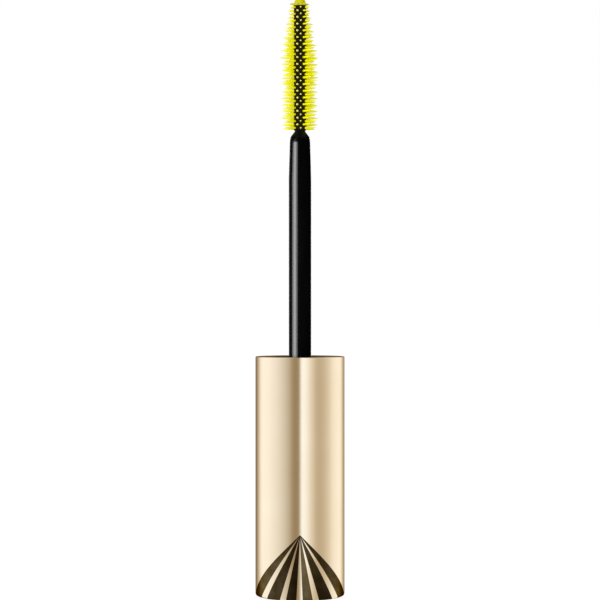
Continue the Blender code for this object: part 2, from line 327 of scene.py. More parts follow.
class Paint:
    """A Principled material with short calls for its procedural detail."""

    def __init__(self, name, colour, metallic=0.0, roughness=0.4):
        self.material = bpy.data.materials.new(name)
        self.material.use_nodes = True
        self.tree = self.material.node_tree
        self.shader = self.tree.nodes["Principled BSDF"]
        self.set("Base Color", (*colour, 1.0))
        self.set("Metallic", metallic)
        self.set("Roughness", roughness)
        self.place = self.tree.nodes.new("ShaderNodeTexCoord").outputs["Object"]

    def set(self, socket, value):
        self.shader.inputs[socket].default_value = value

    def link(self, output, target):
        self.tree.links.new(output, target)

    def noise(self, size, detail=3.0, stretch=(1.0, 1.0, 1.0)):
        """Noise whose features are about size metres, stretched along the axes."""
        mapping = self.tree.nodes.new("ShaderNodeMapping")
        mapping.inputs["Scale"].default_value = [1.0 / (size * factor) for factor in stretch]
        self.link(self.place, mapping.inputs["Vector"])
        texture = self.tree.nodes.new("ShaderNodeTexNoise")
        texture.inputs["Scale"].default_value = 1.0
        texture.inputs["Detail"].default_value = detail
        self.link(mapping.outputs["Vector"], texture.inputs["Vector"])
        return texture.outputs["Fac"]

    def ramp(self, factor, stops):
        node = self.tree.nodes.new("ShaderNodeValToRGB")
        elements = node.color_ramp.elements
        while len(elements) < len(stops):
            elements.new(0.5)
        for element, (position, colour) in zip(elements, stops):
            element.position = position
            element.color = (*colour, 1.0)
        self.link(factor, node.inputs["Fac"])
        return node.outputs["Color"]

    def spread(self, factor, low, high, from_low=0.3, from_high=0.7):
        node = self.tree.nodes.new("ShaderNodeMapRange")
        node.inputs["From Min"].default_value = from_low
        node.inputs["From Max"].default_value = from_high
        node.inputs["To Min"].default_value = low
        node.inputs["To Max"].default_value = high
        self.link(factor, node.inputs["Value"])
        return node.outputs["Result"]

    def colour_from(self, output):
        self.link(output, self.shader.inputs["Base Color"])

    def roughness_from(self, output):
        self.link(output, self.shader.inputs["Roughness"])

    def bump(self, height, distance, strength):
        node = self.tree.nodes.new("ShaderNodeBump")
        node.inputs["Strength"].default_value = strength
        node.inputs["Distance"].default_value = distance
        self.link(height, node.inputs["Height"])
        self.link(node.outputs["Normal"], self.shader.inputs["Normal"])

    def larger(self, first, second):
        node = self.tree.nodes.new("ShaderNodeMath")
        node.operation = "MAXIMUM"
        self.link(first, node.inputs[0])
        self.link(second, node.inputs[1])
        return node.outputs["Value"]

    def attribute(self, name):
        node = self.tree.nodes.new("ShaderNodeAttribute")
        node.attribute_name = name
        return node.outputs["Fac"]

    def scaled(self, colour, factor):
        node = self.tree.nodes.new("ShaderNodeVectorMath")
        node.operation = "SCALE"
        self.link(colour, node.inputs["Vector"])
        self.link(factor, node.inputs["Scale"])
        return node.outputs["Vector"]

    def mixed(self, factor, first, second_output):
        """A plain colour where the factor is 0, and another output where it is 1."""
        node = self.tree.nodes.new("ShaderNodeMix")
        node.data_type = "RGBA"
        node.inputs["A"].default_value = (*first, 1.0)
        self.link(factor, node.inputs["Factor"])
        self.link(second_output, node.inputs[7])
        return node.outputs[2]

    def axis_value(self, axis):
        node = self.tree.nodes.new("ShaderNodeSeparateXYZ")
        self.link(self.place, node.inputs["Vector"])
        return node.outputs[axis]

    def distance_from_axis(self):
        flat = self.tree.nodes.new("ShaderNodeVectorMath")
        flat.operation = "MULTIPLY"
        flat.inputs[1].default_value = (1.0, 1.0, 0.0)
        self.link(self.place, flat.inputs[0])
        length = self.tree.nodes.new("ShaderNodeVectorMath")
        length.operation = "LENGTH"
        self.link(flat.outputs["Vector"], length.inputs[0])
        return length.outputs["Value"]


def anodised_gold():
    paint = Paint("anodised_gold", (0.90, 0.76, 0.56), metallic=1.0, roughness=0.12)
    cloud = paint.noise(9 * MM, detail=2.0)
    outside = paint.ramp(cloud, ((0.3, (0.885, 0.742, 0.540)), (0.7, (0.912, 0.776, 0.578))))
    # Inside the bore and on the inside floor the gold gets a painted shade, dark brown (0.30, 0.22,
    # 0.13); the outside and the base keep the cloudy gold.
    bore = CAP_RADIUS - SHELL_WALL
    from_axis = paint.distance_from_axis()
    out_of_bore = paint.spread(from_axis, 0.0, 1.0, bore + 0.02 * MM, bore + 0.10 * MM)
    under_floor = paint.spread(paint.axis_value("Z"), 1.0, 0.0, SHELL_FLOOR / 2, SHELL_FLOOR * 0.8)
    outside_unshaded = paint.larger(out_of_bore, under_floor)
    paint.colour_from(paint.mixed(outside_unshaded, (0.30, 0.22, 0.13), outside))
    grain = paint.noise(0.12 * MM, detail=2.0, stretch=(8.0, 8.0, 1.0))
    paint.roughness_from(paint.spread(grain, 0.10, 0.15))
    paint.bump(grain, 0.002 * MM, strength=0.12)
    return paint.material


def dark_ink():
    paint = Paint("dark_ink", (0.068, 0.048, 0.022), metallic=1.0, roughness=0.22)
    paint.set("Specular Tint", (0.30, 0.24, 0.16, 1.0))
    cloud = paint.noise(1.6 * MM, detail=4.0)
    stops = (
        (0.3, (0.052, 0.034, 0.013)),
        (0.5, (0.070, 0.049, 0.021)),
        (0.7, (0.086, 0.064, 0.034)),
    )
    paint.colour_from(paint.scaled(paint.ramp(cloud, stops), paint.attribute("tone")))
    grain = paint.noise(0.08 * MM, detail=2.0)
    paint.roughness_from(paint.spread(grain, 0.18, 0.28))
    paint.bump(grain, 0.002 * MM, strength=0.2)
    return paint.material


def gloss_black():
    paint = Paint("gloss_black", (0.002, 0.002, 0.002), roughness=0.2)
    cloud = paint.noise(2.5 * MM, detail=3.0, stretch=(1.0, 1.0, 4.0))
    paint.roughness_from(paint.spread(cloud, 0.15, 0.20))
    stops = ((0.3, (0.0012, 0.0012, 0.0014)), (0.7, (0.0026, 0.0026, 0.0028)))
    paint.colour_from(paint.ramp(cloud, stops))
    paint.bump(paint.noise(0.5 * MM, detail=2.0), 0.002 * MM, strength=0.25)
    return paint.material


def core_black():
    paint = Paint("core_black", (0.014, 0.011, 0.001), roughness=0.4)
    paint.set("Specular IOR Level", 0.12)
    grain = paint.noise(0.15 * MM, detail=3.0)
    paint.roughness_from(paint.spread(grain, 0.28, 0.42))
    sleeve = paint.ramp(grain, ((0.3, (0.016, 0.0125, 0.0005)), (0.7, (0.028, 0.022, 0.0015))))
    blend = 0.3 * MM
    height = paint.axis_value("Z")
    on_sleeve = paint.spread(height, 0.0, 1.0, SLEEVE_FLOOR_Z - blend, SLEEVE_FLOOR_Z + blend)
    paint.colour_from(paint.mixed(on_sleeve, (0.005, 0.004, 0.006), sleeve))
    paint.bump(grain, 0.004 * MM, strength=0.3)
    return paint.material


def liner_black():
    paint = Paint("liner_black", (0.018, 0.018, 0.018), roughness=0.5)
    grain = paint.noise(0.2 * MM, detail=4.0)
    paint.roughness_from(paint.spread(grain, 0.42, 0.6))
    cloud = paint.noise(3 * MM, detail=2.0)
    paint.colour_from(paint.ramp(cloud, ((0.3, (0.014, 0.014, 0.014)), (0.7, (0.022, 0.022, 0.021)))))
    paint.bump(grain, 0.006 * MM, strength=0.35)
    return paint.material


def bristle_yellow():
    paint = Paint("bristle_yellow", (0.86, 0.82, 0.03), roughness=0.42)
    # Towards the tips the yellow turns paler: partly the thin tips' own colour, partly a painted
    # highlight.
    reach = paint.spread(paint.distance_from_axis(), 0.0, 1.0, 1.1 * MM, 3.7 * MM)
    stops = ((0.0, (0.88, 0.82, 0.002)), (0.6, (0.90, 0.87, 0.003)), (1.0, (0.92, 0.92, 0.10)))
    # Stubs are coloured pale yellow (0.80, 0.80, 0.24), a painted highlight on their ends.
    not_stub = paint.spread(paint.attribute("stub"), 1.0, 0.0, 0.0, 1.0)
    bristle = paint.mixed(not_stub, (0.80, 0.80, 0.24), paint.ramp(reach, stops))
    dome_foot = CORE_HIGH.z
    # The dome on top gets a painted shade: from the core's top upward its colour darkens to 0.66 of the
    # bristles'.
    dome_painted_shade = paint.spread(paint.axis_value("Z"), 1.0, 0.66, dome_foot, dome_foot + 0.2 * MM)
    paint.colour_from(paint.scaled(bristle, dome_painted_shade))
    paint.set("Specular IOR Level", 0.15)
    paint.set("Subsurface Weight", 0.35)
    paint.set("Subsurface Scale", 0.5 * MM)
    paint.set("Subsurface Radius", (1.0, 0.9, 0.15))
    grain = paint.noise(0.1 * MM, detail=2.0)
    paint.roughness_from(paint.spread(grain, 0.36, 0.5))
    paint.bump(grain, 0.003 * MM, strength=0.25)
    return paint.material


def seal_foam():
    paint = Paint("seal_foam", (0.78, 0.78, 0.75), roughness=0.75)
    cells = paint.tree.nodes.new("ShaderNodeTexVoronoi")
    cells.inputs["Scale"].default_value = 1.0 / (0.18 * MM)
    paint.link(paint.place, cells.inputs["Vector"])
    stops = ((0.0, (0.70, 0.70, 0.66)), (0.6, (0.84, 0.84, 0.81)))
    paint.colour_from(paint.ramp(cells.outputs["Distance"], stops))
    paint.bump(cells.outputs["Distance"], 0.02 * MM, strength=0.5)
    return paint.material


def turned_steel():
    paint = Paint("turned_steel", (0.5, 0.5, 0.52), metallic=1.0, roughness=0.35)
    rings = paint.tree.nodes.new("ShaderNodeTexWave")
    rings.wave_type = "RINGS"
    rings.rings_direction = "Z"
    rings.inputs["Scale"].default_value = 1.0 / (2 * MM)
    rings.inputs["Distortion"].default_value = 0.4
    paint.link(paint.place, rings.inputs["Vector"])
    paint.roughness_from(paint.spread(rings.outputs["Fac"], 0.28, 0.42, 0.0, 1.0))
    cloud = paint.noise(2 * MM)
    paint.colour_from(paint.ramp(cloud, ((0.3, (0.42, 0.42, 0.44)), (0.7, (0.56, 0.56, 0.57)))))
    paint.bump(rings.outputs["Fac"], 0.01 * MM, strength=0.3)
    return paint.material


# ---------------------------------------------------------------- cap


def shell_profile():
    """Inside floor, inside wall, rolled lip, outside wall and base, from axis to axis."""
    bore = CAP_RADIUS - SHELL_WALL
    return filleted(
        (
            (0.0, SHELL_FLOOR, 0),
            (bore, SHELL_FLOOR, 0.6 * MM),
            (bore, CAP_LENGTH, 0.08 * MM),
            (CAP_RADIUS, CAP_LENGTH, 0.2 * MM),
            (CAP_RADIUS, 0.0, BASE_ROUND),
            (0.0, 0.0, 0),
        ),
        count=CORNER_STEPS,
    )


def make_shell(material):
    piece = turned("gold_shell", shell_profile(), SHELL_STEPS, material)
    return stand_for(piece, "outer_shell")


def shell_surface(depth, lift):
    """Point (r, z) above the shell's outside, depth metres along it below the fan's apex.

    In the base corner it keeps to the same curve as filleted().
    """
    straight = FAN_APEX_Z - BASE_ROUND
    if depth <= straight:
        return CAP_RADIUS + lift, FAN_APEX_Z - depth
    share = min((depth - straight) / (BASE_ROUND * math.pi / 2), 1.0)
    outward = Vector((1 - share, -share)).normalized() * lift
    return (
        CAP_RADIUS - BASE_ROUND * share**2 + outward.x,
        BASE_ROUND * (1 - share) ** 2 + outward.y,
    )


def fan_edge(degrees, depth):
    """Distance round the cap of a line through the apex at this angle, at a depth below it."""
    return math.tan(math.radians(degrees)) * min(depth, FAN_APEX_Z)


def ray_edges(index, depth):
    """Distances round the cap of a ray's two edges. The ink spreads until the rays almost meet."""
    left_deg, right_deg = FAN_RAYS[index][:2]
    left = fan_edge(left_deg, depth) - INK_SPREAD
    right = fan_edge(right_deg, depth) + INK_SPREAD
    if index > 0:
        between = (FAN_RAYS[index - 1][1] + left_deg) / 2
        left = max(left, fan_edge(between, depth) + INK_HAIRLINE)
    if index < len(FAN_RAYS) - 1:
        between = (right_deg + FAN_RAYS[index + 1][0]) / 2
        right = min(right, fan_edge(between, depth) - INK_HAIRLINE)
    return left, right


def ray_depths():
    """Depths below the apex at which a ray has a row of points: down the wall, then the corner."""
    straight = FAN_APEX_Z - BASE_ROUND
    corner = BASE_ROUND * math.pi / 2
    wall_length = straight - FAN_START_DEPTH
    depths = [FAN_START_DEPTH + wall_length * step / INK_ROWS for step in range(INK_ROWS + 1)]
    return depths + [straight + corner * step / CORNER_STEPS for step in range(1, CORNER_STEPS + 1)]


def add_ray(mesh_data, tone, index):
    """One closed ray of ink: a thin sheet that follows the wall and the rounded base corner."""
    top_tone, low_tone = FAN_RAYS[index][2:]
    depths = ray_depths()
    layers = []
    for lift in (INK_GAP, INK_GAP + INK_THICKNESS):
        grid = []
        for depth in depths:
            left, right = ray_edges(index, depth)
            r, z = shell_surface(depth, lift)
            row = []
            for step in range(INK_COLUMNS + 1):
                azimuth = (left + (right - left) * step / INK_COLUMNS) / CAP_RADIUS - math.pi / 2
                vert = mesh_data.verts.new((r * math.cos(azimuth), r * math.sin(azimuth), z))
                vert[tone] = top_tone + (low_tone - top_tone) * depth / depths[-1]
                row.append(vert)
            grid.append(row)
        layers.append(grid)
    inner, outer = layers
    last = len(depths) - 1
    for row in range(last):
        below = row + 1
        for grid in layers:
            for step in range(INK_COLUMNS):
                after = step + 1
                corners = (grid[row][step], grid[row][after], grid[below][after], grid[below][step])
                mesh_data.faces.new(corners)
        for side in (0, INK_COLUMNS):
            corners = (inner[row][side], inner[below][side], outer[below][side], outer[row][side])
            mesh_data.faces.new(corners)
    for row in (0, last):
        for step in range(INK_COLUMNS):
            after = step + 1
            corners = (inner[row][step], inner[row][after], outer[row][after], outer[row][step])
            mesh_data.faces.new(corners)


def make_fan(material):
    mesh_data = bmesh.new()
    tone = mesh_data.verts.layers.float.new("tone")
    for index in range(len(FAN_RAYS)):
        add_ray(mesh_data, tone, index)
    piece = add_object("printed_fan", finish_mesh(mesh_data, "printed_fan"), material)
    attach(piece, "root")
    return piece


def thread_shift(angle, r, z):
    """How far the thread moves a point of the bore inwards."""
    if abs(r - THREAD_BORE_RADIUS) > 0.01 * MM:
        return 0.0
    depth = 0.0
    for turn in range(3):
        turns = angle / math.tau + turn
        if turns > THREAD_TURNS:
            break
        middle = THREAD_START_Z + THREAD_PITCH * turns
        fade = min(1.0, turns / THREAD_FADE_TURNS, (THREAD_TURNS - turns) / THREAD_FADE_TURNS)
        flank = (THREAD_HALF_ROOT - abs(z - middle)) / THREAD_FLANK
        depth = max(depth, min(1.0, max(0.0, flank)) * fade)
    eased = depth * depth * (3 - 2 * depth)
    return -eased * (THREAD_BORE_RADIUS - THREAD_CREST_RADIUS)


def liner_profile():
    """Socket, seat, threaded bore, rim, skirt and boss, from axis to axis."""
    rim_z = LINER_HIGH.z
    web_z = SEAT_Z - WEB_THICKNESS
    groove = SOCKET_RADIUS + SNAP_DEPTH
    inside = filleted(
        (
            (0.0, SOCKET_FLOOR_Z, 0),
            (SOCKET_RADIUS, SOCKET_FLOOR_Z, 0.3 * MM),
            (SOCKET_RADIUS, SNAP_GROOVE_Z - 2 * SNAP_DEPTH, 0.1 * MM),
            (groove, SNAP_GROOVE_Z - SNAP_DEPTH, 0.1 * MM),
            (groove, SNAP_GROOVE_Z + SNAP_DEPTH, 0.1 * MM),
            (SOCKET_RADIUS, SNAP_GROOVE_Z + 2 * SNAP_DEPTH, 0.1 * MM),
            (SOCKET_RADIUS, SEAT_Z - 0.4 * MM, 0.1 * MM),
            (SOCKET_RADIUS + 0.4 * MM, SEAT_Z, 0.1 * MM),
            (THREAD_BORE_RADIUS, SEAT_Z, 0.4 * MM),
            (THREAD_BORE_RADIUS, SEAT_Z + 2.4 * MM, 0),
        )
    )
    thread_top = THREAD_START_Z + THREAD_PITCH * THREAD_TURNS + 0.9 * MM
    thread_low = inside[-1][1]
    row_height = (thread_top - thread_low) / THREAD_ROWS
    bore = [(THREAD_BORE_RADIUS, thread_low + row_height * row) for row in range(1, THREAD_ROWS + 1)]
    outside = filleted(
        (
            (THREAD_BORE_RADIUS, thread_top + 0.5 * MM, 0),
            (THREAD_BORE_RADIUS, rim_z - 0.5 * MM, 0.2 * MM),
            (THREAD_BORE_RADIUS + 0.35 * MM, rim_z, 0.15 * MM),
            (LINER_RADIUS, rim_z, 0.25 * MM),
            (LINER_RADIUS, rim_z - 1.3 * MM, 0.1 * MM),
            (LINER_RADIUS - 0.3 * MM, rim_z - 1.6 * MM, 0.1 * MM),
            (LINER_RADIUS - 0.3 * MM, web_z, 0.4 * MM),
            (BOSS_RADIUS, web_z, 0.3 * MM),
            (BOSS_RADIUS, BOSS_END_Z, 0.4 * MM),
            (0.0, BOSS_END_Z, 0),
        )
    )
    return inside + bore + outside


def add_box(mesh_data, azimuth, inner, outer, width, low, high):
    """A box that stands on a radius of the Z axis, with softened edges."""
    size = Matrix.Diagonal((outer - inner, width, high - low, 1.0))
    centre = Matrix.Translation(((inner + outer) / 2, 0.0, (low + high) / 2))
    turn = Matrix.Rotation(azimuth, 4, "Z")
    made = bmesh.ops.create_cube(mesh_data, size=1.0, matrix=turn @ centre @ size)
    edges = list({edge for vert in made["verts"] for edge in vert.link_edges})
    bmesh.ops.bevel(mesh_data, geom=edges, offset=0.1 * MM, segments=2, affect="EDGES")


def join_solids(piece, tool):
    """Union the tool into the piece, and remove the tool."""
    boolean = piece.modifiers.new("Join", "BOOLEAN")
    boolean.operation = "UNION"
    boolean.solver = "EXACT"
    boolean.object = tool
    graph = bpy.context.evaluated_depsgraph_get()
    joined = bpy.data.meshes.new_from_object(piece.evaluated_get(graph))
    piece.modifiers.clear()
    piece.data = joined
    smooth(joined)
    bpy.data.objects.remove(tool)


def liner_ribs():
    """Fins between boss and shell, and crush ribs on the skirt."""
    ribs = bmesh.new()
    outer = LINER_RADIUS - RIB_GAP
    fin_top = SEAT_Z - WEB_THICKNESS / 2
    for index in range(FIN_COUNT):
        azimuth = math.tau * index / FIN_COUNT
        add_box(ribs, azimuth, FIN_INNER_RADIUS, outer, FIN_WIDTH, LINER_LOW.z, fin_top)
    low = SEAT_Z + 1 * MM
    high = CAP_LENGTH - 3 * MM
    for index in range(CRUSH_RIB_COUNT):
        azimuth = math.tau * (index + 0.5) / CRUSH_RIB_COUNT
        add_box(ribs, azimuth, CRUSH_RIB_INNER_RADIUS, outer, CRUSH_RIB_WIDTH, low, high)
    return ribs


def make_liner(material):
    piece = turned("cap_liner", liner_profile(), LINER_STEPS, material, radius_shift=thread_shift)
    tool = add_object("liner_ribs", finish_mesh(liner_ribs(), "liner_ribs"), material)
    join_solids(piece, tool)
    return stand_for(piece, "inner_cap")


def make_weight(material):
    profile = filleted(
        (
            (0.0, WEIGHT_HIGH.z, 0),
            (WEIGHT_HIGH.x, WEIGHT_HIGH.z, 0.4 * MM),
            (WEIGHT_HIGH.x, WEIGHT_LOW.z, 0.4 * MM),
            (0.0, WEIGHT_LOW.z, 0),
        )
    )
    piece = turned("steel_weight", profile, ROUND_STEPS, material)
    return stand_for(piece, "cap_weight")


def make_seal(material):
    profile = filleted(
        (
            (SEAL_INNER_RADIUS, SEAL_LOW.z, 0.12 * MM),
            (SEAL_INNER_RADIUS, SEAL_HIGH.z, 0.12 * MM),
            (SEAL_HIGH.x, SEAL_HIGH.z, 0.12 * MM),
            (SEAL_HIGH.x, SEAL_LOW.z, 0.12 * MM),
        ),
        closed=True,
    )
    piece = turned("neck_washer", profile, ROUND_STEPS, material, closed=True)
    return stand_for(piece, "neck_seal")


# ---------------------------------------------------------------- stem


def stem_profile():
    """Tip bore, shoulder, taper, shaft, flange and snap plug, from axis to axis."""
    flange_z = SEAT_Z + FLANGE_GAP
    flange_top = flange_z + FLANGE_THICKNESS
    bead = STEM_PLUG_RADIUS + SNAP_DEPTH
    return filleted(
        (
            (0.0, TIP_BORE_FLOOR_Z, 0),
            (TIP_BORE_RADIUS, TIP_BORE_FLOOR_Z, 0.2 * MM),
            (TIP_BORE_RADIUS, STEM_HIGH.z, 0.06 * MM),
            (STEM_TIP_RADIUS - 0.085 * MM, STEM_HIGH.z, 0.25 * MM),
            (STEM_TIP_RADIUS, STEM_HIGH.z - 0.9 * MM, 4.0 * MM),
            (STEM_TIP_RADIUS + 0.04 * MM, STEM_HIGH.z - 2.4 * MM, 8.0 * MM),
            (STEM_RADIUS, STEM_TAPER_START_Z, 5.0 * MM),
            (STEM_RADIUS, flange_top, 0.5 * MM),
            (STEM_HIGH.x, flange_top, 0.15 * MM),
            (STEM_HIGH.x, flange_z, 0.1 * MM),
            (STEM_PLUG_RADIUS, flange_z, 0.15 * MM),
            (STEM_PLUG_RADIUS, SNAP_GROOVE_Z + 1.5 * SNAP_DEPTH, 0.1 * MM),
            (bead, SNAP_GROOVE_Z + SNAP_DEPTH / 2, 0.15 * MM),
            (bead, SNAP_GROOVE_Z - SNAP_DEPTH / 2, 0.15 * MM),
            (STEM_PLUG_RADIUS, SNAP_GROOVE_Z - 1.5 * SNAP_DEPTH, 0.1 * MM),
            (STEM_PLUG_RADIUS, STEM_LOW.z, 0.5 * MM),
            (0.0, STEM_LOW.z, 0),
        ),
        count=6,
    )


def make_stem(material):
    piece = turned("black_stem", stem_profile(), ROUND_STEPS, material)
    return stand_for(piece, "stem")


# ---------------------------------------------------------------- brush


def brush_radius(z):
    """Radius of the bristle tips at height z, between the points of the outline."""
    for (upper_z, upper_r), (lower_z, lower_r) in zip(BRUSH_OUTLINE, BRUSH_OUTLINE[1:]):
        if z >= lower_z:
            share = (upper_z - z) / (upper_z - lower_z)
            return upper_r + (lower_r - upper_r) * share
    return BRUSH_OUTLINE[-1][1]


def trim_shift(z, azimuth):
    """How much farther than the outline a bristle reaches at this place."""
    share = (z - TRIM_START_Z) / (TRIM_FULL_Z - TRIM_START_Z)
    return -TRIM_SHIFT * min(1.0, max(0.0, share)) * math.cos(azimuth)


def stub_share(azimuth):
    """The stubs of the column nearer +X are thinner."""
    return THIN_STUB_SHARE if math.cos(azimuth) > 0 else 1.0


def root_radius_at(z, azimuth, is_stub):
    """Bristles near the tip of the brush have thinner roots, and so have those that face -Y."""
    if is_stub:
        return STUB_ROOT_RADIUS * stub_share(azimuth)
    share = min(1.0, brush_radius(z) / FULL_REACH)
    front_share = FRONT_ROOT_SHARE if math.sin(azimuth) < -0.5 else 1.0
    return front_share * BRISTLE_ROOT_RADIUS * (THIN_ROOT_SHARE + (1 - THIN_ROOT_SHARE) * share)


def bristle_places(first_row=0):
    """Height and azimuth of every bristle, and whether it is a stub.

    Each row of six is turned half a space from the last. One bristle of each row is a stub, so
    that two columns of stubs run up the front of the brush.
    """
    for row in range(first_row, ROW_COUNT):
        z = TOP_ROW_Z - ROW_PITCH * row
        shifted = (row + 1) % 2
        offset = BRUSH_TURN - math.pi / 2 - shifted * HALF_STEP
        for index in range(BRISTLES_PER_ROW):
            yield z, offset + math.tau * index / BRISTLES_PER_ROW, index == 0


def cell_outline(half_width, half_height):
    """Twelve points round a cell of the sleeve: corners, quarter points and side middles."""
    across = [-half_width, -half_width / 2, 0.0, half_width / 2, half_width]
    top = [(x, half_height) for x in across]
    bottom = [(x, -half_height) for x in reversed(across)]
    return top + [(half_width, 0.0)] + bottom + [(-half_width, 0.0)]


def add_cell(mesh_data, z, azimuth, hole_radius):
    """One cell of the perforated sleeve: outer skin, straight-sided hole, inner skin."""
    outline = cell_outline(HALF_STEP, ROW_PITCH / 2)
    ring_levels = (
        # share of the way from the cell's edge to the hole, radius of that ring
        (0.0, SLEEVE_RADIUS),
        (0.45, SLEEVE_RADIUS + 0.004 * MM),
        (0.80, SLEEVE_RADIUS + 0.020 * MM),
        (0.95, SLEEVE_RADIUS + 0.018 * MM),
        (1.0, SLEEVE_RADIUS - 0.010 * MM),
        (1.0, SLEEVE_BORE_RADIUS + 0.02 * MM),
        (0.95, SLEEVE_BORE_RADIUS),
        (0.0, SLEEVE_BORE_RADIUS),
    )
    rings = []
    for share, radius in ring_levels:
        ring = []
        for turn_offset, height in outline:
            hole = Vector((turn_offset * SLEEVE_RADIUS, height)).normalized() * hole_radius
            hole_offset = math.asin(hole.x / radius)
            angle = azimuth + turn_offset + (hole_offset - turn_offset) * share
            level = z + height + (hole.y - height) * share
            place = (radius * math.cos(angle), radius * math.sin(angle), level)
            ring.append(mesh_data.verts.new(place))
        rings.append(ring)
    for outer, inner in zip(rings, rings[1:]):
        for index in range(len(outline)):
            after = (index + 1) % len(outline)
            mesh_data.faces.new((outer[index], outer[after], inner[after], inner[index]))


def make_core(material):
    """Perforated sleeve with its rim, collar, barbed shank and floor, welded where they meet."""
    mesh_data = bmesh.new()
    for z, azimuth, is_stub in bristle_places(first_row=1):
        hole_radius = root_radius_at(z, azimuth, is_stub) * HOLE_OVERSIZE + HOLE_MARGIN
        add_cell(mesh_data, z, azimuth, hole_radius)
    sleeve_top = TOP_ROW_Z - ROW_PITCH / 2
    sleeve_bottom = TOP_ROW_Z - ROW_PITCH * (ROW_COUNT - 0.5)
    rim = (
        (SLEEVE_BORE_RADIUS, sleeve_top),
        (SLEEVE_BORE_RADIUS, CORE_HIGH.z - 0.05 * MM),
        (SLEEVE_BORE_RADIUS + 0.05 * MM, CORE_HIGH.z),
        (SLEEVE_RADIUS - 0.08 * MM, CORE_HIGH.z),
        (SLEEVE_RADIUS, CORE_HIGH.z - 0.08 * MM),
        (SLEEVE_RADIUS, sleeve_top),
    )
    revolve(mesh_data, rim, SLEEVE_STEPS, start=BRUSH_TURN)
    collar_z = STEM_HIGH.z + 0.02 * MM
    foot = [(SLEEVE_RADIUS, sleeve_bottom)]
    foot += filleted(
        (
            (SLEEVE_RADIUS, sleeve_bottom - 0.02 * MM, 0),
            (COLLAR_NECK_RADIUS, collar_z + COLLAR_HEIGHT, 0.1 * MM),
            (COLLAR_RADIUS, collar_z + 0.14 * MM, 0.12 * MM),
            (COLLAR_RADIUS, collar_z, 0.03 * MM),
            (SHANK_RADIUS, collar_z, 0.0),
        )
    )
    for barb_z in BARB_HEIGHTS:
        foot += [
            (SHANK_RADIUS, barb_z + 0.1 * MM),
            (BARB_RADIUS, barb_z),
            (SHANK_RADIUS, barb_z - 0.8 * MM),
        ]
    foot += [
        (SHANK_RADIUS, CORE_LOW.z + 0.3 * MM),
        (SHANK_RADIUS / 2, CORE_LOW.z),
        (0.0, CORE_LOW.z),
    ]
    revolve(mesh_data, foot, SLEEVE_STEPS, start=BRUSH_TURN)
    floor = (
        (0.0, SLEEVE_FLOOR_Z),
        (SLEEVE_BORE_RADIUS, SLEEVE_FLOOR_Z),
        (SLEEVE_BORE_RADIUS, sleeve_bottom),
    )
    revolve(mesh_data, floor, SLEEVE_STEPS, start=BRUSH_TURN)
    bmesh.ops.remove_doubles(mesh_data, verts=mesh_data.verts, dist=0.001 * MM)
    piece = add_object("brush_sleeve", finish_mesh(mesh_data, "brush_sleeve", 50), material)
    return stand_for(piece, "brush_core")


def add_bristle(mesh_data, z, azimuth, length, root_radius, tip_radius, lean, droop, sides=10, rings=9):
    """Tapered bristle with a rounded tip, from inside the rod to its tip. Returns its points."""
    frame_out = Vector((math.cos(azimuth), math.sin(azimuth), 0.0))
    frame_side = Vector((-math.sin(azimuth), math.cos(azimuth), 0.0))
    frame_up = Vector((0.0, 0.0, 1.0))
    base = frame_out * BRISTLE_START_RADIUS + frame_up * z
    layers = []
    for ring in range(rings + 1):
        share = ring / rings
        centre = base + frame_out * (length * share)
        centre += frame_side * (lean.x * share**2)
        centre += frame_up * (lean.y * share**2 - droop * share**3)
        taper = root_radius + (tip_radius - root_radius) * share**BRISTLE_TAPER
        layer = []
        for side in range(sides):
            angle = math.tau * side / sides
            offset = frame_side * math.cos(angle) + frame_up * math.sin(angle)
            layer.append(mesh_data.verts.new(centre + offset * taper))
        layers.append(layer)
    for near, far in zip(layers, layers[1:]):
        for side in range(sides):
            after = (side + 1) % sides
            mesh_data.faces.new((near[side], near[after], far[after], far[side]))
    mesh_data.faces.new(list(reversed(layers[0])))
    rim = layers[-1]
    beyond = frame_out * tip_radius
    dome = [mesh_data.verts.new(centre.lerp(vert.co, 0.7) + beyond * 0.6) for vert in rim]
    tip = mesh_data.verts.new(centre + beyond * 0.85)
    for side in range(sides):
        after = (side + 1) % sides
        mesh_data.faces.new((rim[side], rim[after], dome[after], dome[side]))
        mesh_data.faces.new((dome[side], dome[after], tip))
    return [vert for layer in layers for vert in layer] + dome + [tip]


def dome_profile():
    """Blunt dome on top and the rod below it, from axis to axis."""
    low = CORE_HIGH.z + 0.02 * MM
    height = BRISTLES_HIGH.z - low
    power = 2 / DOME_SQUARENESS
    points = [(0.0, BRISTLES_HIGH.z)]
    for index in range(1, DOME_RINGS + 1):
        angle = math.pi / 2 * (1 - index / DOME_RINGS)
        points.append((DOME_RADIUS * math.cos(angle) ** power, low + height * math.sin(angle) ** power))
    return points + [(ROD_RADIUS, low - 0.01 * MM), (ROD_RADIUS, BRISTLES_LOW.z), (0.0, BRISTLES_LOW.z)]


def make_bristles(material):
    rng = random.Random(11)
    mesh_data = bmesh.new()
    stub = mesh_data.verts.layers.float.new("stub")
    for z, azimuth, is_stub in bristle_places():
        lean = Vector([rng.gauss(0.0, spread) for spread in LEAN_SPREAD])
        droop = rng.uniform(*DROOP_SPREAD)
        reach = brush_radius(z) * rng.uniform(*REACH_SPREAD) + trim_shift(z, azimuth)
        root_radius = root_radius_at(z, azimuth, is_stub)
        tip_radius = BRISTLE_TIP_RADIUS
        if is_stub:
            reach = STUB_REACH
            tip_radius = STUB_TIP_RADIUS * stub_share(azimuth)
            lean *= STUB_LEAN_SHARE
            droop = 0.0
        length = reach - BRISTLE_START_RADIUS - tip_radius
        for vert in add_bristle(mesh_data, z, azimuth, length, root_radius, tip_radius, lean, droop):
            vert[stub] = float(is_stub)
    revolve(mesh_data, dome_profile(), DOME_STEPS)
    piece = add_object("yellow_bristles", finish_mesh(mesh_data, "yellow_bristles", 50), material)
    return stand_for(piece, "brush_bristles")


# ---------------------------------------------------------------- studio


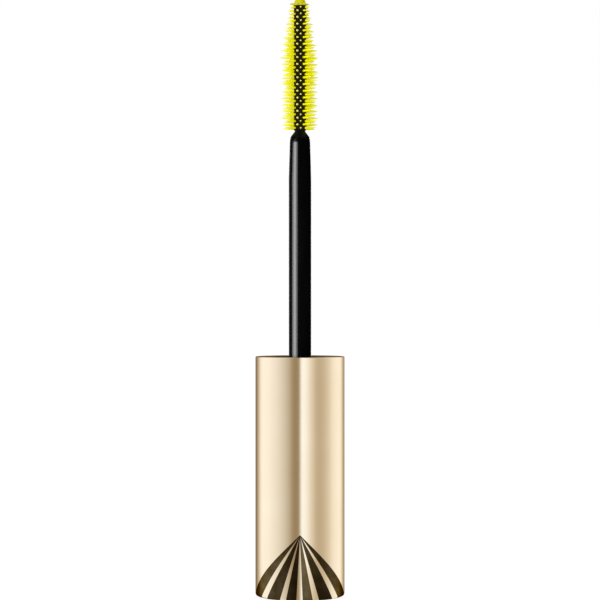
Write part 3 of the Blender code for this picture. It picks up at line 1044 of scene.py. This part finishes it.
def make_camera():
    data = bpy.data.cameras.new("camera")
    data.lens = CAMERA_LENS
    data.sensor_width = SENSOR_WIDTH
    data.clip_start = 0.01
    data.clip_end = 20.0
    camera = bpy.data.objects.new("camera", data)
    camera.location = (0.0, -CAMERA_DISTANCE, CAMERA_HEIGHT)
    camera.rotation_euler = Euler((math.radians(90), 0.0, 0.0))
    bpy.context.scene.collection.objects.link(camera)
    bpy.context.scene.camera = camera


def make_floor():
    """Pale floor that glossy surfaces do not pick up, so the cap keeps clean bands."""
    mesh_data = bmesh.new()
    bmesh.ops.create_circle(mesh_data, cap_ends=True, segments=64, radius=3.0)
    mesh = bpy.data.meshes.new("floor")
    mesh_data.to_mesh(mesh)
    mesh_data.free()
    paint = Paint("floor_white", (0.3, 0.3, 0.3), roughness=0.9)
    paint.set("Specular IOR Level", 0.0)
    paint.set("Emission Color", (1.0, 1.0, 1.0, 1.0))
    paint.set("Emission Strength", 0.85)
    floor = add_object("floor", mesh, paint.material)
    floor.location.z = -0.02 * MM
    floor.visible_glossy = False


def make_world():
    """White backdrop that lights the object with a little less than it shows."""
    world = bpy.data.worlds.new("studio")
    bpy.context.scene.world = world
    world.use_nodes = True
    tree = world.node_tree
    background = tree.nodes["Background"]
    background.inputs["Color"].default_value = (1.0, 1.0, 1.0, 1.0)
    path = tree.nodes.new("ShaderNodeLightPath")
    strength = tree.nodes.new("ShaderNodeMapRange")
    strength.inputs["To Min"].default_value = FILL_STRENGTH
    strength.inputs["To Max"].default_value = 1.0
    tree.links.new(path.outputs["Is Camera Ray"], strength.inputs["Value"])
    tree.links.new(strength.outputs["Result"], background.inputs["Strength"])


def panel_colour(level, coolness):
    """Dimmer parts of the studio are warmer."""
    green = level**1.22 * (1 + 0.05 * coolness)
    blue = level**1.6 * (1 + 0.13 * coolness)
    return level, green, blue


def panel_material():
    """Emission that follows the list of panels round the drum."""
    material = bpy.data.materials.new("light_panels")
    material.use_nodes = True
    tree = material.node_tree
    tree.nodes.clear()
    place = tree.nodes.new("ShaderNodeTexCoord")
    split = tree.nodes.new("ShaderNodeSeparateXYZ")
    tree.links.new(place.outputs["Object"], split.inputs["Vector"])
    flip = tree.nodes.new("ShaderNodeMath")
    flip.operation = "MULTIPLY"
    flip.inputs[1].default_value = -1.0
    tree.links.new(split.outputs["Y"], flip.inputs[0])
    angle = tree.nodes.new("ShaderNodeMath")
    angle.operation = "ARCTAN2"
    tree.links.new(split.outputs["X"], angle.inputs[0])
    tree.links.new(flip.outputs["Value"], angle.inputs[1])
    turn = tree.nodes.new("ShaderNodeMapRange")
    turn.inputs["From Min"].default_value = -math.pi
    turn.inputs["From Max"].default_value = math.pi
    tree.links.new(angle.outputs["Value"], turn.inputs["Value"])
    ramp = tree.nodes.new("ShaderNodeValToRGB")
    elements = ramp.color_ramp.elements
    while len(elements) < len(PANELS):
        elements.new(0.5)
    for element, (degrees, level, coolness) in zip(elements, PANELS):
        element.position = (degrees + 180) / 360
        channels = [channel / PANEL_STRENGTH for channel in panel_colour(level, coolness)]
        element.color = (*channels, 1.0)
    tree.links.new(turn.outputs["Result"], ramp.inputs["Fac"])
    emission = tree.nodes.new("ShaderNodeEmission")
    emission.inputs["Strength"].default_value = PANEL_STRENGTH
    tree.links.new(ramp.outputs["Color"], emission.inputs["Color"])
    output = tree.nodes.new("ShaderNodeOutputMaterial")
    tree.links.new(emission.outputs["Emission"], output.inputs["Surface"])
    return material


def make_drum(lit):
    """Ring of light panels that only the lit pieces reflect."""
    mesh_data = bmesh.new()
    half = DRUM_HEIGHT / 2
    profile = [(0.0, half), (DRUM_RADIUS, half), (DRUM_RADIUS, -half), (0.0, -half)]
    revolve(mesh_data, profile, ROUND_STEPS)
    mesh = bpy.data.meshes.new("light_drum")
    mesh_data.to_mesh(mesh)
    mesh_data.free()
    drum = add_object("light_drum", mesh, panel_material())
    drum.location.z = CAMERA_HEIGHT
    drum.visible_camera = False
    drum.visible_diffuse = False
    drum.visible_shadow = False
    drum.visible_transmission = False
    light_only(drum, "lit_by_drum", lit)


def light_only(source, name, lit):
    """Let a light reach only the pieces in a collection of its own."""
    group = bpy.data.collections.new(name)
    for piece in lit:
        group.objects.link(piece)
    source.light_linking.receiver_collection = group


def area_light(name, azimuth, elevation, distance, width, height, power):
    """Rectangular light that faces the middle of the wand."""
    data = bpy.data.lights.new(name, "AREA")
    data.shape = "RECTANGLE"
    data.size = width
    data.size_y = height
    data.energy = power
    light = bpy.data.objects.new(name, data)
    turn = math.radians(azimuth)
    rise = math.radians(elevation)
    level = math.cos(rise)
    towards = Vector((math.sin(turn) * level, -math.cos(turn) * level, math.sin(rise)))
    light.location = Vector((0.0, 0.0, CAMERA_HEIGHT)) + towards * distance
    light.rotation_euler = towards.to_track_quat("Z", "Y").to_euler()
    light.visible_camera = False
    bpy.context.scene.collection.objects.link(light)
    return light


def make_lights(stem, other_pieces):
    """Strips that draw the stem's edge highlights, and a key light for the other pieces listed."""
    light_only(area_light(*KEY_LIGHT), "lit_by_key", other_pieces)
    for light in STEM_LIGHTS:
        light_only(area_light(*light), "lit_by_" + light[0], [stem])


def set_colours_plain():
    settings = bpy.context.scene.view_settings
    settings.view_transform = "Standard"
    settings.look = "None"


# ---------------------------------------------------------------- assembly


make_camera()
gold = anodised_gold()
shell = make_shell(gold)
fan = make_fan(dark_ink())
liner = make_liner(liner_black())
weight = make_weight(turned_steel())
seal = make_seal(seal_foam())
stem = make_stem(gloss_black())
make_core(core_black())
bristles = make_bristles(bristle_yellow())
make_floor()
make_world()
make_drum([shell, fan])
make_lights(stem, [liner, weight, seal, bristles])
set_colours_plain()
